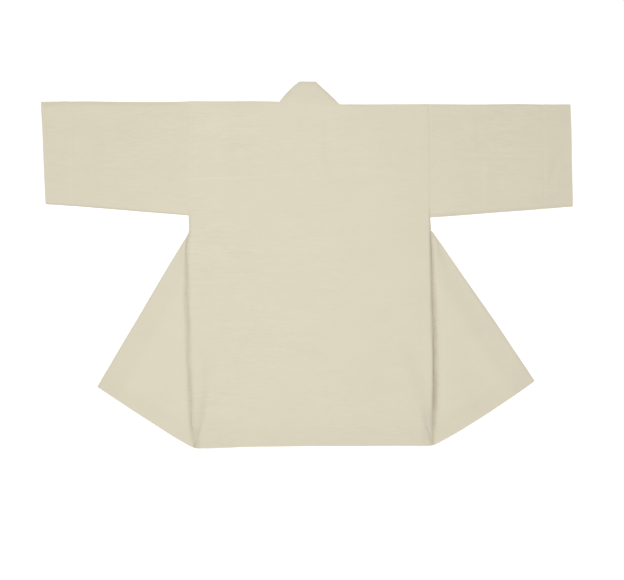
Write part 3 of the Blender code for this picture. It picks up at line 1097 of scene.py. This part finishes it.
class HAPPI_OT_body(bpy.types.Operator):
    """Sew the back and fronts, in one length that is folded over the shoulders"""

    bl_idname = "happi.body"
    bl_label = "Body"

    def execute(self, context):
        coat = Coat()
        half = marks(
            (0.0, 0.005),
            (0.235, 0.003),
            (coat.half - 0.015, 0.0012),
            (coat.half, 0),
        )
        columns = np.concatenate([-half[:0:-1], half])
        hem_line = coat.length - coat.hem
        down_back = marks(
            (0.0, 0.0014),
            (0.018, 0.003),
            (0.060, 0.005),
            (0.130, 0.0025),
            (0.205, 0.0065),
            (0.690, 0.0045),
            (hem_line - 0.006, 0.0012),
            (hem_line + 0.006, 0.0045),
            (coat.length - 0.004, 0.0013),
            (coat.length, 0),
        )
        down_front = marks(
            (0.0, 0.004),
            (0.024, 0.011),
            (hem_line - 0.006, 0.003),
            (hem_line + 0.006, 0.011),
            (coat.length - 0.004, 0.002),
            (coat.length, 0),
        )
        x = columns[None, :]
        top = coat.shoulder_height(x)
        low = coat.front(x, 0 * x)
        radius = (top - low) / 2
        centre = coat.ply / 2 + radius

        def along(down):
            """Depth of rows that start at the shoulder fold, whose centre differs across."""
            return centre + down[:, None] * (coat.length - centre) / coat.length

        back_depth = along(down_back[::-1])
        front_depth = along(down_front)
        angle = arc(10)[:, None]
        arc_depth = centre - radius * np.cos(angle)
        arc_height = low + radius * (1 + np.sin(angle))
        starts_within = 0.004
        blend = ease((back_depth - centre) / starts_within)
        back_height = mix(top + 0 * back_depth, coat.back(x, back_depth), blend)
        depth = np.concatenate([back_depth, arc_depth, front_depth])
        height = np.concatenate([back_height, arc_height, coat.front(x, front_depth)])
        back_rows = len(back_depth)

        # On the cloth, v runs from the back's hem over the shoulder to the fronts' hem
        arc_cloth = radius * (math.pi / 2 - angle)
        cloth = np.concatenate(
            [-(back_depth - centre), arc_cloth, front_depth - centre + math.pi * radius]
        )
        cut = np.stack([x + 0 * cloth, cloth], -1)
        from_hem = coat.length - depth
        inward = coat.half - np.abs(x)
        # Lighter along the hem's edge, with a painted highlight below the shoulder's fold, stronger at
        # the right
        at_fold = by_side(x, *FOLD_HIGHLIGHT) * (1 - ease((depth - centre) / FOLD_HIGHLIGHT_WIDE))
        rub = 1 - ease(np.abs(from_hem) / EDGE_LIGHTER_WIDE) + at_fold

        def corner(side):
            amount, wide, side_fade, high, top_fade = CORNER_SHADE[side]
            return amount * ease((wide - inward) / side_fade) * ease((high - from_hem) / top_fade)

        # Painted shade in the valleys beside the gores, at the hem's corners and in the listed patches,
        # and painted light where a patch is below 0
        below_top, fades_in = 0.008, 0.03
        dust = 1 - bulge(inward / by_side(x, *BODY_SHADE_WIDE))
        dust = dust * by_side(x, *BODY_SHADE) * ease((depth - coat.gore_top - below_top) / fades_in)
        # The right corner's painted shade leaves out the very tip
        tip, tip_fade = 0.012, 0.024
        right_corner = corner(1) * ease((from_hem + inward - tip) / tip_fade)
        dust = dust + by_side(x, corner(-1), right_corner) + creased(x, depth, SHADE_PATCHES)
        dust = dust * (height > coat.upper_lap(depth))
        middles = (columns[:-1] + columns[1:]) / 2

        def keep(row, column):
            return (row < back_rows - 1) | (np.abs(middles[column]) > coat.neck)

        body_colour = context.scene.happi_colours.body
        # Painted shade over the turned hem, spread a little above it
        hem_shade_above, hem_shade_wide = 0.010, 0.055
        piece = sew(
            "back_and_fronts",
            coat.laid(x, depth, height),
            cut,
            coat.body_ply(depth),
            cloth_material("body_cotton", body_colour, hem_shade=0.017, shade_and_slubs_across=True),
            keep=keep,
            turned=ease((depth - hem_line + hem_shade_above) / hem_shade_wide + 0.5),
            rub=np.clip(rub, 0, 2),
            dust=dust,
            pressed=pressed(x, depth),
        )
        hand_over(
            piece,
            "body",
        )
        return {"FINISHED"}


class HAPPI_OT_sleeves(bpy.types.Operator):
    """Sew both sleeves, each a tube that is folded along the shoulder and sewn along the underarm"""

    bl_idname = "happi.sleeves"
    bl_label = "Sleeves"

    def sleeve(self, name, node, side, material):
        coat = Coat()
        reach = coat.reach - coat.half
        cuff_line = reach - coat.cuff_hem
        outs = marks(
            (-coat.lap, 0.004),
            (0.0, 0.0012),
            (0.014, 0.003),
            (0.030, 0.005),
            (cuff_line - 0.012, 0.0016),
            (cuff_line + 0.012, 0.005),
            (reach - 0.004, 0.0013),
            (reach, 0),
        )
        out = outs[:, None]
        x = side * (coat.half + out)
        foot = coat.sleeve_foot(out)
        shoulder = coat.shoulder_height(side * coat.half)
        fold_depth = coat.ply / 2 + (shoulder - coat.front(side * coat.half, 0.0)) / 2
        down = marks(
            (0.0, 0.0018),
            (0.06, 0.008),
            (0.28, 0.016),
            (0.40, 0.008),
            (0.70, 0.016),
            (0.86, 0.012),
            (0.96, 0.0045),
            (1.0, 0),
        )
        low_top = coat.sleeve_lower(side, out, 0 * out)
        high_top = coat.sleeve_upper(side, out, 0 * out)
        radius = (high_top - low_top) / 2
        low_foot = coat.sleeve_lower(side, out, foot)
        high_foot = coat.sleeve_upper(side, out, foot)
        seam_radius = (high_foot - low_foot) / 2
        long = foot - seam_radius - fold_depth
        upper_depth = fold_depth + down[None, :] * long
        lower_down = marks((0.0, 0.012), (0.1, 0.04), (0.9, 0.012), (1.0, 0))[::-1]
        lower_depth = fold_depth + lower_down[None, :] * long
        angle = arc(8)[None, :]
        seam_depth = foot - seam_radius + seam_radius * np.cos(angle)
        seam_height = low_foot + seam_radius * (1 + np.sin(angle))
        fold_angle = angle[:, ::-1]
        over_depth = fold_depth - radius * np.cos(fold_angle)
        over_height = low_top + radius * (1 + np.sin(fold_angle))
        depth = np.concatenate([upper_depth, seam_depth + 0 * out, lower_depth, over_depth], 1)
        height = np.concatenate(
            [
                coat.sleeve_upper(side, out, upper_depth),
                seam_height,
                coat.sleeve_lower(side, out, lower_depth),
                over_height,
            ],
            1,
        )
        # On the cloth, v runs round the tube from the shoulder fold. So the warp runs round the tube
        # and the weft along it.
        depth_step, height_step = (np.diff(way, axis=1, append=way[:, :1]) for way in (depth, height))
        around = np.concatenate([0 * out, np.cumsum(np.hypot(depth_step, height_step), 1)], 1)
        cut = np.stack([x + 0 * around, around], -1)
        # Lighter along the cuff's edge, with a painted highlight below the shoulder's fold
        at_cuff = 1 - ease(np.abs(out - reach) / EDGE_LIGHTER_WIDE)
        at_fold = by_side(side, *FOLD_HIGHLIGHT) * (1 - ease((depth - fold_depth) / FOLD_HIGHLIGHT_WIDE))
        rub = np.clip(at_cuff + at_fold, 0, 2)
        # Painted highlight and shadow of the step at the turned cuff's edge: a light line outside it and
        # a dark one inside
        light, dark, light_off, dark_off, line_wide = 0.30, 0.40, 0.0045, 0.0065, 0.006
        outside = 1 - ease(np.abs(out - cuff_line - light_off) / line_wide)
        inside = 1 - ease(np.abs(out - cuff_line + dark_off) / line_wide)
        cuff_highlight_and_shadow = light * outside - dark * inside
        # Painted shade along the underarm's edge, and in the listed patches
        amount, wide = UNDERARM_SHADE[side]
        dust = amount * (1 - ease((foot - depth) / wide))
        dust = (dust + creased(x, depth, SHADE_PATCHES)) * (height > coat.ply)
        piece = sew(
            name,
            coat.laid(x, depth, height),
            cut,
            coat.sleeve_ply(out) + 0 * depth,
            material,
            ring=True,
            turned=coat.sleeve_turned(out),
            rub=rub,
            dust=dust,
            pressed=pressed(x, depth) + cuff_highlight_and_shadow,
        )
        hand_over(
            piece,
            node,
        )

    def execute(self, context):
        colours = context.scene.happi_colours
        # The sleeves' colours are painted shade, the right one darker where less light falls; only the
        # right cuff also gets painted shade over its turned hem
        left_cotton = cloth_material("left_sleeve_cotton", colours.left_sleeve, slubby=0.9, hem_shade=0.0)
        right_cotton = cloth_material("right_sleeve_cotton", colours.right_sleeve, slubby=0.9)
        self.sleeve("left_sleeve", "sleeve_left", -1, left_cotton)
        self.sleeve("right_sleeve", "sleeve_right", 1, right_cotton)
        return {"FINISHED"}


class HAPPI_OT_gores(bpy.types.Operator):
    """Sew both gores, each a triangle that is folded down its middle with the fold outwards"""

    bl_idname = "happi.gores"
    bl_label = "Gores"

    def gore(self, name, node, side, material):
        coat = Coat()
        slant_out = coat.tip_out
        slant_depth = coat.length - coat.tip_depth
        slant = math.hypot(slant_out, slant_depth)
        slant_out, slant_depth = slant_out / slant, slant_depth / slant
        hem_line = 1 - coat.hem / coat.gore_fold
        downs = marks(
            (0.010, 0.004),
            (0.06, 0.010),
            (hem_line - 0.014, 0.003),
            (hem_line + 0.014, 0.010),
            (0.991, 0.003),
            (1.0, 0),
        )
        down = downs[:, None]
        seam_at = coat.gore_top + down * coat.gore_seam
        width = down * coat.gore_hem
        fold_low, fold_high = coat.gore_rests(down)
        radius = (fold_high - fold_low) / 2
        fold_room, narrow = 0.0006, 0.060
        to_centre = width - radius - fold_room
        # The points are close beside the seam, and closer still where the gore is narrow
        near = marks((0.0, 0.0013), (0.016, 0.003), (0.034, 0))
        scale = np.minimum(1.0, to_centre / narrow)
        near_run = near[None, :] * scale
        rest = marks((0.0, 0.024), (0.90, 0.012), (1.0, 0))[None, 1:]
        far_run = near_run[:, -1:] + rest * (to_centre - near_run[:, -1:])
        upper_run = np.concatenate([near_run, far_run], 1)
        lower_share = marks((0.0, 0.01), (0.04, 0.04), (1.0, 0))[::-1]
        lower_run = lower_share[None, :] * to_centre
        lap = marks((0.0, 0.003), (coat.lap, 0))[1:]

        def spot(run):
            return slant_out * run, seam_at - slant_depth * run

        upper_out, upper_depth = spot(upper_run)
        lower_out, lower_depth = spot(lower_run)
        angle = arc(8)[None, :]
        fold_out, fold_depth = spot(to_centre + radius * np.cos(angle))
        fold_height = fold_low + radius * (1 + np.sin(angle))
        lap_out = -lap[None, :] + 0 * down
        lap_depth = seam_at + 0 * lap_out
        # A lap runs in between the body's two layers
        upper_lap = coat.upper_lap(lap_depth) + 0 * lap_out
        lower_lap = coat.lower_lap(lap_depth) + 0 * lap_out
        out = np.concatenate([lap_out[:, ::-1], upper_out, fold_out, lower_out, lap_out], 1)
        depth = np.concatenate([lap_depth[:, ::-1], upper_depth, fold_depth, lower_depth, lap_depth], 1)
        height = np.concatenate(
            [
                upper_lap[:, ::-1],
                coat.gore_upper(side, upper_out, upper_depth, down, to_centre - upper_run),
                fold_height,
                coat.gore_lower(side, lower_out, lower_depth, down),
                lower_lap,
            ],
            1,
        )
        # The weft crosses the fold at right angles, so it runs along each row
        across = np.concatenate(
            [
                lap_out[:, ::-1],
                upper_run,
                to_centre + radius * (math.pi / 2 - angle),
                2 * to_centre + math.pi * radius - lower_run,
                2 * to_centre + math.pi * radius - lap_out,
            ],
            1,
        )
        cut = np.stack([across - to_centre, -down * coat.gore_fold + 0 * across], -1)
        from_fold = np.abs(across - to_centre - math.pi * radius / 2)
        off_fold = ease(from_fold / EDGE_LIGHTER_WIDE)
        off_hem = ease((1 - down) * coat.gore_fold / EDGE_LIGHTER_WIDE)
        rub = np.clip(1 - off_fold + 1 - off_hem, 0, 1)
        # Painted shade in the valley by the seam: more at the right seam and less at the hem's corners,
        # more near the fold, and a little all over the right gore
        wide_above, wide_below, above, below, hem_fade, near_fold, all_over = GORE_SHADE[side]
        starts, long, at_corner, corner_high, roundness = 0.36, 0.22, 0.1, 0.010, 1.6
        lower = ease((depth - starts) / long)
        dust = mix(above, below, lower)
        dust = dust * mix(at_corner, 1.0, ease((coat.length - depth - corner_high) / hem_fade))
        dust = dust * (1 - bulge(np.abs(out) / mix(wide_above, wide_below, lower), roundness))
        just_below = 0.0001
        dust = dust * (height > coat.upper_lap(seam_at) - just_below)
        fold_wide, fold_fade = 0.045, 0.025
        dust = dust + near_fold * (1 - ease((from_fold - fold_wide) / fold_fade)) + all_over
        # Painted shade over the turned hem, spread a little past it
        hem_shade_wide = 0.030
        piece = sew(
            name,
            coat.laid(side * (coat.half + out), depth, height),
            cut,
            coat.gore_ply(down) + 0 * depth,
            material,
            turned=ease((down - hem_line) * coat.gore_fold / hem_shade_wide + 0.5) + 0 * depth,
            rub=rub,
            dust=dust,
        )
        hand_over(
            piece,
            node,
        )

    def execute(self, context):
        gore_colour = context.scene.happi_colours.gores
        cotton = cloth_material("gore_cotton", gore_colour, slubby=0.35, hem_shade=0.014)
        self.gore("left_gore", "gore_left", -1, cotton)
        self.gore("right_gore", "gore_right", 1, cotton)
        return {"FINISHED"}


class HAPPI_OT_neckband(bpy.types.Operator):
    """Sew the neckband: round the back of the neck, turned under on the slant and down both fronts"""

    bl_idname = "happi.neckband"
    bl_label = "Neckband"

    def execute(self, context):
        coat = Coat()
        root_two = math.sqrt(2)
        leg = coat.band / 2 + CLEARANCE
        # The band's sewn edge lies just under the edge of the back
        tucked = 0.0008
        beside = (np.array([coat.neck * 0.8]), np.array([0.0025]))
        high = float(coat.back(*beside)[0]) - tucked
        radius = (high - leg) / 2
        turn = math.pi * radius / root_two
        seam_lap, side_gap = 0.0005, 0.0003
        seam_depth = float(neckline(coat)) + seam_lap
        half_back = coat.neck - side_gap - turn
        to_hem = coat.length - seam_depth + turn
        widths = marks(
            (0.0, 0.0006),
            (0.0012, 0.0016),
            (0.006, 0.0036),
            (coat.band_width - 0.006, 0.0016),
            (coat.band_width - 0.0012, 0.0006),
            (coat.band_width, 0),
        )

        def folded(along, width):
            """Points of the strip, along from the centre back and up from its sewn edge."""
            side = by_side(along, -1, 1)
            past = (width + np.abs(along) - half_back) / root_two
            foot = (half_back - np.abs(along) + width) / 2
            angle = np.clip(past / radius, 0, math.pi)
            over = radius * np.sin(angle) - np.maximum(past - math.pi * radius, 0)
            x = np.where(past <= 0, along, side * (half_back - foot + over / root_two))
            up = np.where(past <= 0, width, foot + over / root_two)
            height = leg + radius * (1 + np.cos(angle))
            # The upper layer is puffed, and rolls down to the slants and to the free edge
            puffed, top_roll, seam_rise, sinks_by = 0.0024, 0.014, 0.012, 0.0003
            from_slant = np.maximum(-past, 0) / by_side(along, 0.011, 0.007)
            from_top = (coat.band_width - width) / top_roll
            puff = puffed * bulge(from_slant) * bulge(from_top) * ease(width / seam_rise)
            sinks = sinks_by * ease(up / coat.band_width)
            return coat.laid(x, seam_depth - up, height + puff - np.minimum(sinks, height - leg))

        def line(past, edge):
            """A line across the strip, this far past the slanting fold."""
            start = widths + edge * (widths <= 0)
            return half_back - widths + past * root_two, start

        lines = []
        along, width = line(math.pi * radius, 0.0)
        down = marks((0.0, 0.0025), (0.04, 0.006), (0.97, 0.0025), (1.0, 0))[::-1]
        for share in down[:-1]:
            lines.append((along + share * (half_back + to_hem - along), width))
        for past in np.linspace(math.pi * radius, 0, 11):
            lines.append(line(past, 0.0010))
        along, width = line(0.0, 0.0)
        for share in np.linspace(1, 0, 20)[1:]:
            lines.append((share * along, width))
        lines += [(-along, width) for along, width in lines[-2::-1]]
        along = np.array([entry[0] for entry in lines])
        width = np.array([entry[1] for entry in lines])
        in_from_edge = np.minimum(width, coat.band_width - width)
        edge_share, edge_wide = 0.45, 0.0025
        ply = coat.band * mix(edge_share, 1.0, rise(in_from_edge / edge_wide))
        cut = np.stack([along, width], -1)
        rub = 1 - ease((coat.band_width - width) / EDGE_LIGHTER_WIDE)
        piece = sew(
            "collar_band",
            folded(along, width),
            cut,
            ply,
            cloth_material("band_cotton", context.scene.happi_colours.band, slubby=0.4),
            # A little painted shade all over the doubled band
            turned=0.6,
            rub=rub,
        )
        hand_over(
            piece,
            "neckband",
        )
        return {"FINISHED"}


def neckline(coat):
    """Depth of the back's neck edge."""
    top = coat.shoulder_height(np.array([coat.neck]))
    low = coat.front(np.array([coat.neck]), np.array([0.0]))
    return (coat.ply / 2 + (top - low) / 2)[0]


class HAPPI_OT_stitches(bpy.types.Operator):
    """Stitch down the hem of the back and the upper side of both cuffs"""

    bl_idname = "happi.stitches"
    bl_label = "Stitches"

    def rows(self, coat):
        """Lines of points that the rows of stitches follow, half sunk in the top of the cloth."""
        sunk, margin, inside_hem = 0.00005, 0.004, 0.0015
        x = np.linspace(-coat.half + margin, coat.half - margin, 240)
        depth = np.full(x.shape, coat.length - coat.hem + inside_hem)
        yield coat.laid(x, depth, coat.back(x, depth) + coat.body_ply(depth) / 2 - sunk)
        for side in (-1, 1):
            out = np.full(120, coat.reach - coat.half - coat.cuff_hem + inside_hem)
            depth = np.linspace(margin, float(coat.sleeve_foot(out[0])) - margin, 120)
            height = coat.sleeve_upper(side, out, depth) + coat.sleeve_ply(out) / 2 - sunk
            yield coat.laid(side * (coat.half + out), depth, height)

    def execute(self, context):
        coat = Coat()
        points = []
        edges = []
        for row in self.rows(coat):
            first = len(points)
            points += row.tolist()
            edges += [(number, number + 1) for number in range(first, len(points) - 1)]
        mesh = bpy.data.meshes.new("stitches")
        mesh.from_pydata(points, edges, [])
        piece = bpy.data.objects.new("stitches", mesh)
        context.scene.collection.objects.link(piece)
        cloth = context.scene.happi_cloth
        material = thread_material(context.scene.happi_colours.thread)
        tree, inputs = stitch_tree()
        modifier = piece.modifiers.new("stitches", "NODES")
        modifier.node_group = tree
        for word, value in (
            ("Length", cloth.stitch),
            ("Pitch", cloth.stitch_pitch),
            ("Thread", cloth.thread),
            ("Material", material),
        ):
            modifier[inputs[word]] = value
        make_plain(piece)
        if len(piece.data.polygons) == 0:
            raise RuntimeError("no stitches were made")
        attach(piece, "root")
        return {"FINISHED"}


def stitch_tree():
    """Geometry nodes that lay a row of stitches along each line, and each input's identifier."""
    tree = bpy.data.node_groups.new("stitch_row", "GeometryNodeTree")
    tree.interface.new_socket("Geometry", in_out="INPUT", socket_type="NodeSocketGeometry")
    inputs = {}
    for word, kind in (
        ("Length", "NodeSocketFloat"),
        ("Pitch", "NodeSocketFloat"),
        ("Thread", "NodeSocketFloat"),
        ("Material", "NodeSocketMaterial"),
    ):
        socket = tree.interface.new_socket(word, in_out="INPUT", socket_type=kind)
        inputs[word] = socket.identifier
    tree.interface.new_socket("Geometry", in_out="OUTPUT", socket_type="NodeSocketGeometry")
    start = tree.nodes.new("NodeGroupInput")
    end = tree.nodes.new("NodeGroupOutput")
    curve = add_node(tree, "GeometryNodeMeshToCurve", {0: start.outputs["Geometry"]}).outputs[0]
    points = add_node(
        tree,
        "GeometryNodeCurveToPoints",
        {"Curve": curve, "Length": start.outputs["Pitch"]},
        mode="LENGTH",
    )
    ball = add_node(
        tree, "GeometryNodeMeshUVSphere", {"Segments": 6, "Rings": 5, "Radius": 0.5}
    ).outputs[0]
    stretch = add_node(
        tree,
        "ShaderNodeCombineXYZ",
        {0: start.outputs["Thread"], 1: start.outputs["Thread"], 2: start.outputs["Length"]},
    ).outputs[0]
    stitch = add_node(tree, "GeometryNodeTransform", {"Geometry": ball, "Scale": stretch}).outputs[0]
    uneven = add_node(
        tree, "FunctionNodeRandomValue", {2: 0.90, 3: 1.10, "Seed": 5}, data_type="FLOAT"
    ).outputs[1]
    placed = add_node(
        tree,
        "GeometryNodeInstanceOnPoints",
        {
            "Points": points.outputs["Points"],
            "Instance": stitch,
            "Rotation": points.outputs["Rotation"],
            "Scale": uneven,
        },
    ).outputs[0]
    real = add_node(tree, "GeometryNodeRealizeInstances", {0: placed}).outputs[0]
    dressed = add_node(
        tree, "GeometryNodeSetMaterial", {"Geometry": real, "Material": start.outputs["Material"]}
    ).outputs[0]
    tree.links.new(dressed, end.inputs[0])
    return tree, inputs


class HAPPI_OT_studio(bpy.types.Operator):
    """Set up a plain white floor, soft lights and a camera straight above the coat"""

    bl_idname = "happi.studio"
    bl_label = "Studio"

    def add_light(self, context, name, power, size, place, aim):
        light = bpy.data.lights.new(name, "AREA")
        light.shape = "DISK"
        light.size = size
        light.energy = power
        lamp = bpy.data.objects.new(name, light)
        lamp.location = place
        lamp.rotation_euler = (aim - lamp.location).to_track_quat("-Z", "Y").to_euler()
        context.scene.collection.objects.link(lamp)

    def execute(self, context):
        scene = context.scene
        studio = scene.happi_studio
        middle = (cad_low + cad_high) / 2
        middle.z = 0.0

        side = 20.0
        mesh = bpy.data.meshes.new("floor")
        mesh.from_pydata(
            [(-side, -side, 0), (side, -side, 0), (side, side, 0), (-side, side, 0)], [], [(0, 1, 2, 3)]
        )
        floor = bpy.data.objects.new("floor", mesh)
        scene.collection.objects.link(floor)
        paper, tree, shader = new_material("white_floor")
        feed(
            tree,
            shader,
            {
                "Base Color": (*scene.happi_colours.floor, 1),
                "Roughness": 0.9,
                "Specular IOR Level": 0.1,
                "Emission Color": (1, 1, 1, 1),
                "Emission Strength": 0.15,
            },
        )
        mesh.materials.append(paper)

        world = bpy.data.worlds.new("white_room")
        world.use_nodes = True
        background = world.node_tree.nodes["Background"]
        feed(world.node_tree, background, {"Color": (1, 1, 1, 1), "Strength": studio.sky})
        scene.world = world
        for name, (width, place) in LIGHTS.items():
            self.add_light(context, name, getattr(studio, name), width, middle + Vector(place), middle)

        camera = bpy.data.cameras.new("camera")
        camera.lens = camera.sensor_width * studio.camera_height / studio.view_width
        eye = bpy.data.objects.new("camera", camera)
        off_x, off_y, off_z = VIEW_OFFSET
        eye.location = (middle.x + off_x, middle.y + off_y, studio.camera_height + off_z)
        scene.collection.objects.link(eye)
        scene.camera = eye
        scene.view_settings.view_transform = "Standard"
        return {"FINISHED"}


class HAPPI_PT_panel(bpy.types.Panel):
    """Everything that makes the coat"""

    bl_idname = "HAPPI_PT_panel"
    bl_label = "Happi Coat"
    bl_space_type = "VIEW_3D"
    bl_region_type = "UI"
    bl_category = "Happi Coat"

    def draw(self, context):
        for operator in OPERATORS:
            self.layout.operator(operator.bl_idname)
        for group in ("happi_cut", "happi_cloth", "happi_colours", "happi_studio"):
            values = getattr(context.scene, group)
            box = self.layout.box()
            for name in values.__annotations__:
                box.prop(values, name)


GROUPS = {
    "happi_cut": HappiCut,
    "happi_cloth": HappiCloth,
    "happi_colours": HappiColours,
    "happi_studio": HappiStudio,
}
OPERATORS = (
    HAPPI_OT_body,
    HAPPI_OT_sleeves,
    HAPPI_OT_gores,
    HAPPI_OT_neckband,
    HAPPI_OT_stitches,
    HAPPI_OT_studio,
)


def register():
    for group in GROUPS.values():
        bpy.utils.register_class(group)
    for name, group in GROUPS.items():
        setattr(bpy.types.Scene, name, bpy.props.PointerProperty(type=group))
    for operator in OPERATORS:
        bpy.utils.register_class(operator)
    bpy.utils.register_class(HAPPI_PT_panel)


def unregister():
    bpy.utils.unregister_class(HAPPI_PT_panel)
    for operator in reversed(OPERATORS):
        bpy.utils.unregister_class(operator)
    for name in GROUPS:
        delattr(bpy.types.Scene, name)
    for group in reversed(GROUPS.values()):
        bpy.utils.unregister_class(group)


def main():
    register()
    for operator in OPERATORS:
        _, name = operator.bl_idname.split(".")
        getattr(bpy.ops.happi, name)()


if __name__ == "__main__":
    main()
